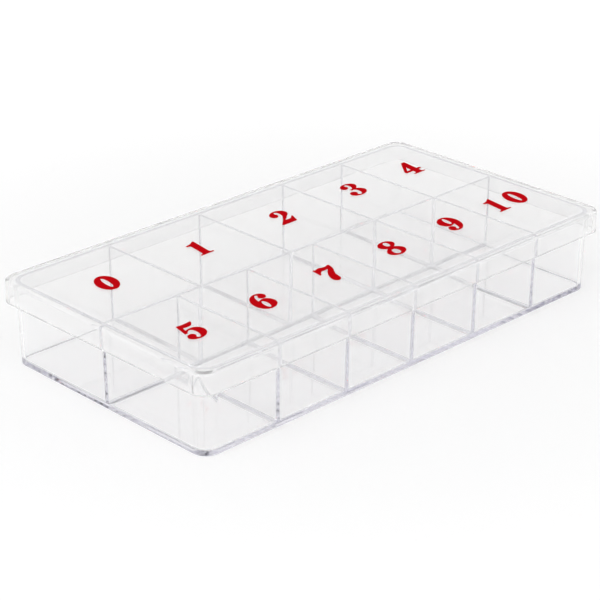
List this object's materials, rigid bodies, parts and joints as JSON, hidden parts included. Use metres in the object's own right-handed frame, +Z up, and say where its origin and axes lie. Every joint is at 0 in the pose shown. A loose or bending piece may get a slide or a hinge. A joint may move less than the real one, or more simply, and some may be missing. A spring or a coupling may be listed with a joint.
{
  "type": "compartment storage box",
  "caption": "Flat clear plastic storage box with rows of small compartments and a shallow lift-off lid, for false nail tips or other tiny parts.",
  "frame": {"origin": "middle of the underside, on the surface that the box stands on", "axes": "+X along the long front side, to the right; +Y from the front side to the back; +Z up, the way the lid lifts off"},
  "size_m": [0.2042, 0.1082, 0.0327],
  "materials": {
    "clear_tray": "clear moulded polystyrene, high gloss, a faint cool tint where it is seen edge on",
    "clear_lid": "clear moulded polystyrene, high gloss",
    "number_ink": "opaque red printing ink, slightly glossy"
  },
  "bodies": {
    "tray": {"tray_shell": "clear_tray", "long_partition": "clear_tray", "front_partition_1": "clear_tray", "front_partition_2": "clear_tray", "front_partition_3": "clear_tray", "front_partition_4": "clear_tray", "front_partition_5": "clear_tray", "back_partition_1": "clear_tray", "back_partition_2": "clear_tray", "back_partition_3": "clear_tray", "back_partition_4": "clear_tray"},
    "lid": {"lid": "clear_lid"}
  },
  "joints": [
    {"name": "lid_lift", "type": "slide", "parent": "tray", "child": "lid", "axis": [0, 0, 1], "range_m": [0, 0.04]}
  ]
}
